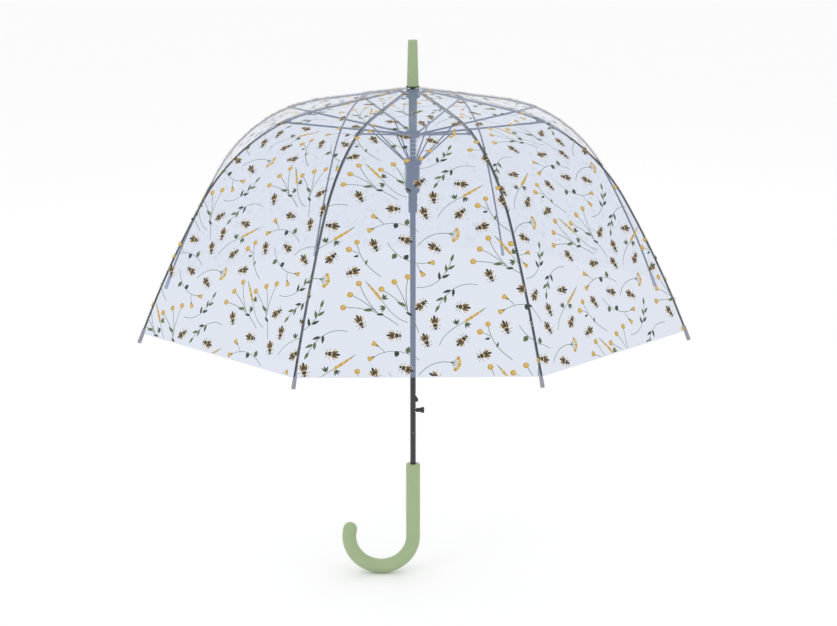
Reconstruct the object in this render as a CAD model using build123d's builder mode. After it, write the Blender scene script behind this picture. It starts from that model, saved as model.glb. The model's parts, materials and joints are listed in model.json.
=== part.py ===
from build123d import *
import math
import os

# Clear dome umbrella on a stick shaft, with eight ribs and a push-button opener.
# Shown open and upright: +Z runs up the shaft, and the origin is in the middle of the
# handle's straight grip. Profiles are drawn from the crown, where the ribs meet, as
# (distance from the shaft's axis, height above the crown). Millimetres.

# ---- driving dimensions ----
CROWN_Z = 628.5  # height of the crown above the middle of the grip
RIBS = 8
RUNNING_GAP = 0.35  # between the shaft and what slides on it
PIN_GAP = 0.3  # between a hinge pin and the eye that turns on it
FIT_GAP = 0.05  # between parts that are fixed to each other

SHAFT_R = 4.25
SHAFT_WALL = 0.65
SHAFT_TOP = 28
SHAFT_BOTTOM = -628

GRIP_R = 10.75
GRIP_TOP = -570
CROOK_LEVEL = -686.9  # height of the centre of the crook's bend
CROOK_R = 49
CROOK_SWEEP = 194  # degrees, before the rounded end

FERRULE_TIP = 70.5
FERRULE_BASE = 4.2
FERRULE_TIP_R = 6.75
FERRULE_BASE_R = 8.5

# ribs: the top stretch up to the joint, then the shoulder and the skirt of the dome
ROOT = (9, -8)  # hinge in the crown's notch
RIB_START = (20, -1.5)
RIB_QUARTER = (80, -11)
RIB_BEND = (140, -21)
JOINT = (197, -36.5)  # where the stretcher meets the rib, and the rib bends in closing
SHOULDER_MIDDLE = (263, -76)
SHOULDER_END = (318, -139)
RIB_END = (411.5, -320)
UPPER_R = 1.5
LOWER_R = 1.4
TIP_LENGTH = 17
TIP_SOCKET = 8

HUB = (9, -65)  # stretcher's hinge in the sliding hub
RUNNER_PIN = (11.5, -105)  # strut's hinge in the runner
STRUT_REACH = 56  # from the hub's hinge, along the stretcher, to the strut's top

# flat ends of the rods: radii of the round eyes, and depths of the bars behind them
ROOT_EYE_R = 2.3
ROOT_BLADE_DEPTH = 3.2
FORK_NECK_DEPTH = 4.4
FORK_CHEEK_DEPTH = 4.6
JOINT_EYE_R = 2.2
HUB_EYE_R = 2.2
STRETCHER_END_R = 2.0
STRETCHER_DEPTH = 2.6
STRUT_FOOT_R = 2.0
STRUT_TOP_R = 1.9
STRUT_PIN_R = 1.2
PIN_HEAD_R = 1.5
PIN_HEAD = 0.6  # thickness

# what lies beside what: sideways distances from each rib's own upright plane
EYE_THICKNESS = 2.4
BLADE_REACH = 1.1  # of the flat ends of the ribs and struts
FORK_INNER = 1.7
FORK_OUTER = 2.4
STRETCHER_NEAR = 2.7
STRETCHER_FAR = 4.3
STRUT_R = 1.0

PIN_R = 0.6
JOINT_PIN_R = 0.7
PIN_REACH = 2.8  # of a pin in the notch or the runner, to each side of its slot's middle
HUB_PIN_REACH = 1.8
NOTCH_SLOT_REACH = 1.5
HUB_SLOT_REACH = 1.1
RUNNER_SLOT_REACH = 1.3
SLOT_CLEARANCE = 2.6  # below the pin
NOTCH_R = 10.5
CORE_R = 6.0  # solid middle of the notch and the hub, inside the slots

RUNNER_TOP = -101
RUNNER_FLARE_END = -110
RUNNER_FLARE_R = 12.8
RUNNER_BODY_END = -151.6
RUNNER_BODY_R = 10
SKIRT_END = -181
SKIRT_R = 6.5
CAVITY_R = 7.3
CAVITY_FLOOR = -149.2

SPRING_WIRE_R = 0.6
SPRING_R = 6.15
SPRING_TURNS = 13

CATCH_PIVOT = -520
TOOTH_TOP = -459.5
TOOTH_BOTTOM = -471
TOOTH_REACH = 7.75
BUTTON_TOP = -480.0
BUTTON_HEIGHT = 8.7
BUTTON_STEM_HEIGHT = 6
BUTTON_REACH = 16.95
BUTTON_CAP = 4.6  # thickness of the button's head
BUTTON_START = 4.7  # of its stem, from the shaft's axis
TOOTH_WINDOW_WIDTH = 3.6
STEM_WINDOW_WIDTH = 4.6
LOCK_WINDOW_WIDTH = 3.8
PIVOT_R = 0.75
WINDOW_TOP = -161.2  # of the slot in the runner's skirt that the tooth locks into
WINDOW_BOTTOM = -174.3

FILM_GAP = 3.0  # from a rib's centreline to the inside of the film
FILM_THICKNESS = 0.6
FILM_HOLE_R = 7

os.makedirs("parts", exist_ok=True)
CROWN_PLANE = Plane(origin=(0, 0, CROWN_Z), x_dir=(1, 0, 0), z_dir=(0, -1, 0))


def save(piece, label):
    """Label a finished piece and write it to its own file."""
    piece.part.label = label
    export_step(piece.part, f"parts/{label}.step")


def rib_plane(number):
    """Upright plane of one rib: local x runs out from the shaft, y up, origin at the crown."""
    turn = math.radians(360 / RIBS * (number - 0.5))
    outward = (math.sin(turn), -math.cos(turn), 0)
    sideways = (-math.cos(turn), -math.sin(turn), 0)
    return Plane(origin=(0, 0, CROWN_Z), x_dir=outward, z_dir=sideways)


def bar_face(plane, start, end, height):
    """Flat outline of a straight bar with round ends centred on two points of a plane."""
    across, up = end[0] - start[0], end[1] - start[1]
    middle = ((start[0] + end[0]) / 2, (start[1] + end[1]) / 2)
    with BuildSketch(plane) as outline:
        with Locations(middle):
            SlotCenterToCenter(
                math.hypot(across, up), height, rotation=math.degrees(math.atan2(up, across))
            )
    return outline.sketch


def disc_face(plane, centre, radius):
    """Round outline about one point of a plane."""
    with BuildSketch(plane) as outline:
        with Locations(centre):
            Circle(radius)
    return outline.sketch


def turned_profile(points):
    """Half section of a turned piece, drawn in the XZ plane from the crown's level."""
    with BuildSketch(CROWN_PLANE) as section:
        with BuildLine():
            Polyline(*points, close=True)
        make_face()
    return section.sketch


def arc_points(stretch, end=1):
    """Start, middle and end of one stretch of the rib's outline, up to a share of its length."""
    return [(point.X, point.Y) for point in (stretch @ 0, stretch @ (end / 2), stretch @ end)]


def slot_face(plane, near, far, low, high):
    """Rectangle of a radial slot, in a rib's plane."""
    with BuildSketch(plane) as outline:
        with Locations(((near + far) / 2, (low + high) / 2)):
            Rectangle(far - near, high - low)
    return outline.sketch


# ---- the rib's outline, in its own plane: four arcs, each meeting the next smoothly ----
with BuildLine() as rib_outline:
    outline_start = ThreePointArc(RIB_START, RIB_QUARTER, RIB_BEND)
    outline_top = TangentArc(RIB_BEND, JOINT, tangent=outline_start % 1)
    outline_shoulder = ThreePointArc(JOINT, SHOULDER_MIDDLE, SHOULDER_END)
    outline_skirt = TangentArc(SHOULDER_END, RIB_END, tangent=outline_shoulder % 1)

# ---- shaft: a steel tube, with windows on its right for the catch ----
with BuildPart() as shaft:
    with BuildSketch(Plane.XY.offset(CROWN_Z + SHAFT_BOTTOM)):
        Circle(SHAFT_R)
        Circle(SHAFT_R - SHAFT_WALL, mode=Mode.SUBTRACT)
    extrude(amount=SHAFT_TOP - SHAFT_BOTTOM)
    with Locations((SHAFT_R, 0, CROWN_Z + (TOOTH_TOP + TOOTH_BOTTOM) / 2)):
        Box(SHAFT_R, TOOTH_WINDOW_WIDTH, TOOTH_TOP - TOOTH_BOTTOM + 3, mode=Mode.SUBTRACT)
    with Locations((SHAFT_R, 0, CROWN_Z + BUTTON_TOP - BUTTON_HEIGHT / 2)):
        Box(SHAFT_R, STEM_WINDOW_WIDTH, BUTTON_STEM_HEIGHT + 2, mode=Mode.SUBTRACT)
    with Locations(Location((0, 0, CROWN_Z + CATCH_PIVOT), (90, 0, 0))):
        Cylinder(PIVOT_R + FIT_GAP, 4 * SHAFT_R, mode=Mode.SUBTRACT)
save(shaft, "shaft")

# ---- handle: straight grip and crook in one moulding ----
with BuildPart() as handle:
    with BuildLine(Plane.XZ) as handle_line:
        grip_line = Line((0, CROWN_Z + GRIP_TOP), (0, CROWN_Z + CROOK_LEVEL))
        crook_line = CenterArc(
            (-CROOK_R, CROWN_Z + CROOK_LEVEL), CROOK_R, 0, -CROOK_SWEEP
        )
    with BuildSketch(Plane.XY.offset(CROWN_Z + GRIP_TOP)):
        Circle(GRIP_R)
    sweep()
    with Locations(crook_line @ 1):
        Sphere(GRIP_R)
    grip_rim = handle.faces().sort_by(Axis.Z)[-1].edges()
    fillet(grip_rim, 1.6)
    with Locations((0, 0, CROWN_Z + GRIP_TOP)):
        Hole(SHAFT_R + FIT_GAP, GRIP_TOP - SHAFT_BOTTOM + 1)
save(handle, "handle")

# ---- ferrule: the tapered spike on top, hollow where the shaft enters ----
with BuildPart() as ferrule:
    with BuildSketch(Plane.XY.offset(CROWN_Z + FERRULE_BASE)):
        Circle(FERRULE_BASE_R)
    with BuildSketch(Plane.XY.offset(CROWN_Z + FERRULE_TIP)):
        Circle(FERRULE_TIP_R)
    loft()
    fillet(ferrule.faces().sort_by(Axis.Z)[-1].edges(), 0.8)
    fillet(ferrule.faces().sort_by(Axis.Z)[0].edges(), 0.6)
    with BuildSketch(Plane.XY.offset(CROWN_Z + FERRULE_BASE)):
        Circle(SHAFT_R + FIT_GAP)
    extrude(amount=SHAFT_TOP - FERRULE_BASE + 1, mode=Mode.SUBTRACT)
save(ferrule, "ferrule")

# ---- crown washer: presses the film's middle down under the ferrule ----
with BuildPart() as crown_washer:
    with BuildSketch(Plane.XY.offset(CROWN_Z + FERRULE_BASE - 1.3)):
        Circle(FERRULE_BASE_R + 1.5)
        Circle(SHAFT_R + FIT_GAP, mode=Mode.SUBTRACT)
    extrude(amount=1.2)
save(crown_washer, "crown_washer")

# ---- crown notch: slotted disc fixed to the shaft, with a hinge pin across each slot ----
NOTCH_TOP = -1.6
NOTCH_BOTTOM = ROOT[1] - 4.5
with BuildPart() as crown_notch:
    revolve(
        turned_profile(
            [
                (SHAFT_R + FIT_GAP, NOTCH_TOP),
                (NOTCH_R - 2, NOTCH_TOP),
                (NOTCH_R, NOTCH_TOP - 1.5),
                (NOTCH_R, NOTCH_BOTTOM + 0.8),
                (NOTCH_R - 0.8, NOTCH_BOTTOM),
                (SHAFT_R + FIT_GAP, NOTCH_BOTTOM),
            ]
        ),
        axis=Axis.Z,
    )
    for number in range(1, RIBS + 1):
        plane = rib_plane(number)
        slot = slot_face(plane, CORE_R, 2 * NOTCH_R, NOTCH_BOTTOM - 1, ROOT[1] + 3)
        extrude(slot, amount=NOTCH_SLOT_REACH, both=True, mode=Mode.SUBTRACT)
        bore = disc_face(plane, ROOT, PIN_R + FIT_GAP)
        extrude(bore, amount=PIN_REACH + 0.1, both=True, mode=Mode.SUBTRACT)
save(crown_notch, "crown_notch")

with BuildPart() as notch_pins:
    for number in range(1, RIBS + 1):
        extrude(disc_face(rib_plane(number), ROOT, PIN_R), amount=PIN_REACH, both=True)
save(notch_pins, "notch_pins")

# ---- stop sleeve: tube on the shaft that the hub comes up against when open ----
HUB_TOP = HUB[1] + 4.5
HUB_BOTTOM = HUB[1] - 4.5
with BuildPart() as stop_sleeve:
    with BuildSketch(Plane.XY.offset(CROWN_Z + HUB_TOP + 0.3)):
        Circle(CORE_R)
        Circle(SHAFT_R + FIT_GAP, mode=Mode.SUBTRACT)
    extrude(amount=NOTCH_BOTTOM - HUB_TOP - 0.4)
save(stop_sleeve, "stop_sleeve")

# ---- stretcher hub: slides on the shaft and carries the eight stretchers ----
with BuildPart() as stretcher_hub:
    revolve(
        turned_profile(
            [
                (SHAFT_R + RUNNING_GAP, HUB_BOTTOM),
                (NOTCH_R - 1, HUB_BOTTOM),
                (NOTCH_R, HUB_BOTTOM + 1),
                (NOTCH_R, HUB_TOP - 1),
                (NOTCH_R - 1, HUB_TOP),
                (SHAFT_R + RUNNING_GAP, HUB_TOP),
            ]
        ),
        axis=Axis.Z,
    )
    for number in range(1, RIBS + 1):
        side = rib_plane(number).offset((STRETCHER_NEAR + STRETCHER_FAR) / 2)
        slot = slot_face(side, CORE_R - 1, 2 * NOTCH_R, HUB[1] - SLOT_CLEARANCE, HUB_TOP + 1)
        extrude(slot, amount=HUB_SLOT_REACH, both=True, mode=Mode.SUBTRACT)
        bore = disc_face(side, HUB, PIN_R + FIT_GAP)
        extrude(bore, amount=HUB_PIN_REACH + 0.1, both=True, mode=Mode.SUBTRACT)
save(stretcher_hub, "stretcher_hub")

with BuildPart() as hub_pins:
    for number in range(1, RIBS + 1):
        side = rib_plane(number).offset((STRETCHER_NEAR + STRETCHER_FAR) / 2)
        extrude(disc_face(side, HUB, PIN_R), amount=HUB_PIN_REACH, both=True)
save(hub_pins, "hub_pins")

# ---- runner: flared top for the struts, spring housing, and a skirt with the lock window ----
BORE_R = SHAFT_R + RUNNING_GAP
with BuildPart() as runner:
    revolve(
        turned_profile(
            [
                (CAVITY_R, RUNNER_TOP),
                (RUNNER_FLARE_R - 0.8, RUNNER_TOP),
                (RUNNER_FLARE_R, RUNNER_TOP - 0.8),
                (RUNNER_FLARE_R, RUNNER_FLARE_END + 1),
                (RUNNER_BODY_R, RUNNER_FLARE_END - 1.6),
                (RUNNER_BODY_R, RUNNER_BODY_END + 1.5),
                (RUNNER_BODY_R - 1.5, RUNNER_BODY_END),
                (SKIRT_R, RUNNER_BODY_END),
                (SKIRT_R, SKIRT_END + 0.8),
                (SKIRT_R - 0.8, SKIRT_END),
                (BORE_R, SKIRT_END),
                (BORE_R, CAVITY_FLOOR),
                (CAVITY_R, CAVITY_FLOOR),
            ]
        ),
        axis=Axis.Z,
    )
    for number in range(1, RIBS + 1):
        plane = rib_plane(number)
        low = RUNNER_PIN[1] - SLOT_CLEARANCE
        slot = slot_face(plane, 9, 2 * RUNNER_FLARE_R, low, RUNNER_TOP + 1)
        extrude(slot, amount=RUNNER_SLOT_REACH, both=True, mode=Mode.SUBTRACT)
        bore = disc_face(plane, RUNNER_PIN, PIN_R + FIT_GAP)
        extrude(bore, amount=PIN_REACH + 0.1, both=True, mode=Mode.SUBTRACT)
    with Locations((SKIRT_R, 0, CROWN_Z + (WINDOW_TOP + WINDOW_BOTTOM) / 2)):
        Box(SKIRT_R, LOCK_WINDOW_WIDTH, WINDOW_TOP - WINDOW_BOTTOM, mode=Mode.SUBTRACT)
save(runner, "runner")

with BuildPart() as runner_pins:
    for number in range(1, RIBS + 1):
        extrude(disc_face(rib_plane(number), RUNNER_PIN, PIN_R), amount=PIN_REACH, both=True)
save(runner_pins, "runner_pins")

# ---- opening spring: coil round the shaft, from the runner's floor up to the hub ----
SPRING_BOTTOM = CAVITY_FLOOR + SPRING_WIRE_R + 0.2
SPRING_HEIGHT = HUB_BOTTOM - SPRING_WIRE_R - 0.2 - SPRING_BOTTOM
with BuildPart() as opening_spring:
    with BuildLine() as coil_line:
        coil = Helix(
            SPRING_HEIGHT / SPRING_TURNS,
            SPRING_HEIGHT,
            SPRING_R,
            center=(0, 0, CROWN_Z + SPRING_BOTTOM),
        )
    with BuildSketch(Plane(origin=coil @ 0, z_dir=coil % 0)):
        Circle(SPRING_WIRE_R)
    sweep(is_frenet=True)
save(opening_spring, "opening_spring")

# ---- catch: pivoted lever inside the shaft, its tooth out through the upper window ----
LEVER_BACK = 1.2
LEVER_FRONT = 2.4
STEM_MIDDLE = BUTTON_TOP - BUTTON_HEIGHT / 2
with BuildPart() as catch_lever:
    with BuildSketch(CROWN_PLANE):
        with BuildLine():
            Polyline(
                (LEVER_BACK, TOOTH_TOP + 0.5),
                (LEVER_FRONT, TOOTH_TOP + 0.5),
                (TOOTH_REACH, TOOTH_BOTTOM + 4.5),
                (TOOTH_REACH, TOOTH_BOTTOM),
                (LEVER_FRONT, TOOTH_BOTTOM),
                (LEVER_FRONT, STEM_MIDDLE + 1.6),
                (9, STEM_MIDDLE + 1.6),
                (9, STEM_MIDDLE - 1.6),
                (LEVER_FRONT, STEM_MIDDLE - 1.6),
                (LEVER_FRONT, CATCH_PIVOT - 3),
                (-2, CATCH_PIVOT - 3),
                (-2, CATCH_PIVOT + 3),
                (LEVER_BACK, CATCH_PIVOT + 8),
                close=True,
            )
        make_face()
    extrude(amount=1.3, both=True)
    with Locations(Location((0, 0, CROWN_Z + CATCH_PIVOT), (90, 0, 0))):
        Cylinder(PIVOT_R + PIN_GAP, 4 * SHAFT_R, mode=Mode.SUBTRACT)
save(catch_lever, "catch_lever")

with BuildPart() as release_button:
    with BuildSketch(Plane.YZ.offset(BUTTON_START)):
        with Locations((0, CROWN_Z + STEM_MIDDLE)):
            RectangleRounded(3.8, BUTTON_STEM_HEIGHT, 1)
    extrude(amount=8)
    with BuildSketch(Plane.YZ.offset(BUTTON_REACH - BUTTON_CAP)):
        with Locations((0, CROWN_Z + STEM_MIDDLE)):
            RectangleRounded(6.6, BUTTON_HEIGHT, 2.2)
    extrude(amount=BUTTON_CAP)
    fillet(release_button.faces().sort_by(Axis.X)[-1].edges(), 1.6)
    with Locations((BUTTON_START + 2.4, 0, CROWN_Z + STEM_MIDDLE)):
        Box(4.8, 2.7, 3.4, mode=Mode.SUBTRACT)
save(release_button, "release_button")

with BuildPart() as catch_pivot:
    with Locations(Location((0, 0, CROWN_Z + CATCH_PIVOT), (90, 0, 0))):
        Cylinder(PIVOT_R, 2 * SHAFT_R)
save(catch_pivot, "catch_pivot")

# ---- ribs, tips, stretchers and struts ----
lean = math.atan2(JOINT[1] - HUB[1], JOINT[0] - HUB[0])
STRUT_TOP = (
    HUB[0] + STRUT_REACH * math.cos(lean),
    HUB[1] + STRUT_REACH * math.sin(lean),
)
FORK_SHARE = 0.9  # of the outline's second arc: the rod ends inside the fork's root
FORK_BACK = (JOINT[0] - 8.5, JOINT[1] + 2.9)
FORK_FRONT = (JOINT[0] - 5.3, JOINT[1] + 1.8)

for number in range(1, RIBS + 1):
    plane = rib_plane(number)

    with BuildPart() as rib_upper:
        with BuildLine(plane):
            upper_start = ThreePointArc(*arc_points(outline_start))
            ThreePointArc(*arc_points(outline_top, FORK_SHARE))
        with BuildSketch(Plane(origin=upper_start @ 0, z_dir=upper_start % 0)):
            Circle(UPPER_R)
        sweep()
        blade = bar_face(plane, ROOT, RIB_START, ROOT_BLADE_DEPTH)
        extrude(blade, amount=BLADE_REACH, both=True)
        extrude(disc_face(plane, ROOT, ROOT_EYE_R), amount=EYE_THICKNESS / 2, both=True)
        neck = bar_face(plane, FORK_BACK, FORK_FRONT, FORK_NECK_DEPTH)
        extrude(neck, amount=FORK_OUTER, both=True)
        cheek = bar_face(plane, FORK_FRONT, JOINT, FORK_CHEEK_DEPTH)
        extrude(cheek, amount=FORK_OUTER, both=True)
        gap = slot_face(plane, JOINT[0] - 3.2, JOINT[0] + 6, JOINT[1] - 6, JOINT[1] + 6)
        extrude(gap, amount=FORK_INNER, both=True, mode=Mode.SUBTRACT)
        head_start = STRETCHER_FAR + PIN_GAP
        pin = disc_face(plane.offset(-FORK_OUTER), JOINT, JOINT_PIN_R)
        extrude(pin, amount=FORK_OUTER + head_start + PIN_HEAD + 0.1)
        extrude(disc_face(plane.offset(head_start), JOINT, PIN_HEAD_R), amount=PIN_HEAD)
        hole = disc_face(plane, ROOT, PIN_R + PIN_GAP)
        extrude(hole, amount=3, both=True, mode=Mode.SUBTRACT)
    save(rib_upper, f"rib_upper_{number}")

    with BuildPart() as rib_lower:
        with BuildLine(plane):
            shoulder = ThreePointArc(*arc_points(outline_shoulder))
            skirt = ThreePointArc(*arc_points(outline_skirt))
        with BuildSketch(Plane(origin=shoulder @ 0, z_dir=shoulder % 0)):
            Circle(LOWER_R)
        sweep()
        extrude(disc_face(plane, JOINT, JOINT_EYE_R), amount=EYE_THICKNESS / 2, both=True)
        hole = disc_face(plane, JOINT, JOINT_PIN_R + PIN_GAP)
        extrude(hole, amount=3, both=True, mode=Mode.SUBTRACT)
    save(rib_lower, f"rib_lower_{number}")

    with BuildPart() as rib_tip:
        tip_plane = Plane(origin=skirt @ 1, z_dir=skirt % 1).offset(-TIP_SOCKET)
        with BuildSketch(tip_plane):
            Circle(LOWER_R + 1.0)
        with BuildSketch(tip_plane.offset(TIP_SOCKET + TIP_LENGTH - 3)):
            Circle(LOWER_R + 1.5)
        loft()
        fillet(rib_tip.faces().sort_by(Axis.Z)[0].edges(), 1.4)
        with BuildSketch(tip_plane):
            Circle(LOWER_R + 0.1)
        extrude(amount=TIP_SOCKET + 0.3, mode=Mode.SUBTRACT)
    save(rib_tip, f"rib_tip_{number}")

    side = plane.offset(STRETCHER_NEAR)
    with BuildPart() as stretcher:
        extrude(bar_face(side, HUB, JOINT, STRETCHER_DEPTH), amount=STRETCHER_FAR - STRETCHER_NEAR)
        extrude(disc_face(side, HUB, HUB_EYE_R), amount=STRETCHER_FAR - STRETCHER_NEAR)
        extrude(disc_face(side, JOINT, STRETCHER_END_R), amount=STRETCHER_FAR - STRETCHER_NEAR)
        inner_hole = disc_face(side, HUB, PIN_R + PIN_GAP)
        extrude(inner_hole, amount=3, both=True, mode=Mode.SUBTRACT)
        outer_hole = disc_face(side, JOINT, JOINT_PIN_R + PIN_GAP)
        extrude(outer_hole, amount=3, both=True, mode=Mode.SUBTRACT)
    save(stretcher, f"stretcher_{number}")

    with BuildPart() as strut:
        with BuildLine(plane):
            strut_line = Line(RUNNER_PIN, STRUT_TOP)
        with BuildSketch(Plane(origin=strut_line @ 0, z_dir=strut_line % 0)):
            Circle(STRUT_R)
        sweep()
        extrude(disc_face(plane, RUNNER_PIN, STRUT_FOOT_R), amount=BLADE_REACH, both=True)
        extrude(disc_face(plane, STRUT_TOP, STRUT_TOP_R), amount=BLADE_REACH, both=True)
        extrude(disc_face(plane, STRUT_TOP, STRUT_PIN_R), amount=STRETCHER_NEAR - PIN_GAP)
        foot_hole = disc_face(plane, RUNNER_PIN, PIN_R + PIN_GAP)
        extrude(foot_hole, amount=3, both=True, mode=Mode.SUBTRACT)
    save(strut, f"strut_{number}")

# ---- canopy: eight flat-chorded film panels, joined along the ribs ----
HALF_GORE = math.radians(180 / RIBS)


def film_point(stretch, share, gap):
    """Point of the film in its panel's middle plane, a gap outside the rib's centreline."""
    point, along = stretch @ share, stretch % share
    return (
        (point.X - along.Y * gap) * math.cos(HALF_GORE),
        point.Y + along.X * gap,
    )


inner, outer = FILM_GAP, FILM_GAP + FILM_THICKNESS
stretches = [outline_start, outline_top, outline_shoulder, outline_skirt]
with BuildPart() as gore:
    with BuildSketch(CROWN_PLANE):
        with BuildLine():
            for gap in (inner, outer):
                last = film_point(outline_start, 0, gap)
                Line((FILM_HOLE_R, last[1]), last)
                for stretch in stretches:
                    middle, end = film_point(stretch, 0.5, gap), film_point(stretch, 1, gap)
                    ThreePointArc(last, middle, end)
                    last = end
            Line(film_point(outline_skirt, 1, inner), film_point(outline_skirt, 1, outer))
            first = [film_point(outline_start, 0, gap)[1] for gap in (inner, outer)]
            Line((FILM_HOLE_R, first[0]), (FILM_HOLE_R, first[1]))
        make_face()
    extrude(amount=RIB_END[0] / 2, both=True)
    with BuildSketch(Plane.XY.offset(CROWN_Z + RIB_END[1] - 20)):
        far = RIB_END[0] + 30
        aside = far * math.tan(HALF_GORE)
        Polygon((0, 0), (far, -aside), (far, aside), align=None)
    extrude(amount=-RIB_END[1] + 60, mode=Mode.INTERSECT)

with BuildPart() as canopy:
    with PolarLocations(0, RIBS):
        add(gore.part)
save(canopy, "canopy")
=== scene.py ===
"""Looks of a clear dome umbrella: printed film, green grip and ferrule, black frame."""

import json
import math

import bmesh
import bpy
import numpy as np
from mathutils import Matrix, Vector


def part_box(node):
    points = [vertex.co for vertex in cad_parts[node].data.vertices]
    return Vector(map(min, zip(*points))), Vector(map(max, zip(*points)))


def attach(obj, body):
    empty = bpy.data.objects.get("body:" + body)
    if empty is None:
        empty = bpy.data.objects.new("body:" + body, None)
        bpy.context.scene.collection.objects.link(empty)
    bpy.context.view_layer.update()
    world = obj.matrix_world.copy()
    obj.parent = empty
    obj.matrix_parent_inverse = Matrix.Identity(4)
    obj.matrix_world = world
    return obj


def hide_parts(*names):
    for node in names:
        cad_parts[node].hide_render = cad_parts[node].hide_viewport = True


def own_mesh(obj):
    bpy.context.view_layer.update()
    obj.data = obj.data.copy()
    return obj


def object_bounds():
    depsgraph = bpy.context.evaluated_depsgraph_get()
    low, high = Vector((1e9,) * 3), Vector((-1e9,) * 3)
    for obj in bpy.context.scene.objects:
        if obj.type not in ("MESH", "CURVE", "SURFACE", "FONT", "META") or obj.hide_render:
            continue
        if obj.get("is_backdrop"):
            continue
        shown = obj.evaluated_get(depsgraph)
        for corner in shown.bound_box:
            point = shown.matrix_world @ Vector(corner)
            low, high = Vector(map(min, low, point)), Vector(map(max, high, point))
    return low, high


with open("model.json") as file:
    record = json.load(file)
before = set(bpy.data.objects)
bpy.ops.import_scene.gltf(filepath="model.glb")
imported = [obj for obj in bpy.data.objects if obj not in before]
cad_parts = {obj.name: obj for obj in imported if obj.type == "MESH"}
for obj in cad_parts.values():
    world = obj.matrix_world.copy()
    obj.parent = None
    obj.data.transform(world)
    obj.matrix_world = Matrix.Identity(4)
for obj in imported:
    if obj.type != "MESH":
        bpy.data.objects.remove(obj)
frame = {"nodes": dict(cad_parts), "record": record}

bl_info = {
    "name": "Clear dome umbrella",
    "version": (1, 0, 0),
    "blender": (4, 5, 0),
    "location": "3D View > Sidebar > Umbrella",
    "description": "Film, prints, spring and finishes of a clear dome umbrella on its frame",
    "category": "Object",
}

MM = 0.001
RIBS = 8
GORE = 2 * math.pi / RIBS  # angle from one rib to the next
HALF_GORE = GORE / 2  # from a rib to the middle of the panel beside it
CROWN_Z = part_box("shaft")[1][2] - 28 * MM  # level at which the ribs meet

# ---- rib outline, in millimetres from the shaft's axis and above the crown ----
RIB_START = (20, -1.5)
RIB_QUARTER = (80, -11)
RIB_BEND = (140, -21)
JOINT = (197, -36.5)
SHOULDER_MIDDLE = (263, -76)
SHOULDER_END = (318, -139)
RIB_END = (411.5, -320)

# ---- how the film meets the ribs and what its print keeps clear of ----
RIB_LINE = (1.2 * MM, 1.9 * MM)  # the dark line beside a rib fades out between these
BARE_BAND = (5 * MM, 8 * MM)  # so does the clear band beside a rib at the silhouette
BARE_FROM = (200 * MM, 260 * MM)  # which comes in between these lengths along the rib
CROWN_MARGIN = 12 * MM  # bare film round the ferrule
HEM_MARGIN = 1.5 * MM  # bare film along the hem
SIDE_REACH = 9 * MM  # an outline whose middle is this far past a panel's side may cross it
HEM_REACH = 8 * MM  # and one this far past the hem's margin
PRINT_DRIFT = (37.0, 71.0)  # how far the print shifts from one panel to the next, in mm

FILM_COLUMNS = 17
FILM_ROWS = {"upper": 40, "lower": 72}
WIRE_SIDES = 12
TURN_STEPS = 36

# ---- camera, placed from the crown on the shaft's axis ----
CAMERA_DISTANCE = 2.5674
CAMERA_RISE = 0.3341
CAMERA_ASIDE = 0.0083
CAMERA_SWING = math.radians(-1.17)
CAMERA_DOWN = math.radians(14.57)
CAMERA_LENS = 76.7

# ---- soft lights: name, place, power in watts and width ----
LIGHTS = [
    ("key", (-2.2, -2.4, 3.0), 14.0, 2.0),
    ("fill", (2.6, -1.6, 2.0), 3.0, 2.5),
    ("back", (0.8, 2.8, 2.6), 3.0, 2.0),
]
LIGHTS_AIM = (0, 0, 0.4)
FLOOR_HALF = 30.0


# ======================================================================
# sizes and colours that a user would change
# ======================================================================
class UmbrellaSizes(bpy.types.PropertyGroup):
    """Sizes of the soft and fine pieces."""

    film_gap: bpy.props.FloatProperty(
        name="Film gap",
        description="From a rib's centreline to the inside of the film",
        default=2.7 * MM, min=0, unit="LENGTH", precision=5,
    )
    film_hole: bpy.props.FloatProperty(
        name="Film hole",
        description="Radius of the hole in the film under the ferrule",
        default=7 * MM, min=0, unit="LENGTH", precision=5,
    )
    print_gap: bpy.props.FloatProperty(
        name="Print height",
        description="How far the lowest ink stands off the film",
        default=0.25 * MM, min=0, unit="LENGTH", precision=5,
    )
    ink_step: bpy.props.FloatProperty(
        name="Ink step",
        description="Rise from one layer of ink to the next",
        default=0.06 * MM, min=0, unit="LENGTH", precision=5,
    )
    closed_width: bpy.props.FloatProperty(
        name="Closed width",
        description="Share of its width that each film panel keeps when the umbrella is closed",
        default=0.16, min=0.05, max=1, subtype="FACTOR",
    )
    spring_wire: bpy.props.FloatProperty(
        name="Spring wire",
        description="Radius of the opening spring's wire",
        default=0.6 * MM, min=0.1 * MM, unit="LENGTH", precision=5,
    )
    spring_turns: bpy.props.IntProperty(
        name="Spring turns",
        description="Number of turns in the opening spring",
        default=13, min=3,
    )


def colour(name, description, value):
    """A colour that the user can change, given as linear red, green and blue."""
    return bpy.props.FloatVectorProperty(
        name=name, description=description, default=value, size=3, min=0, max=1, subtype="COLOR"
    )


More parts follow.
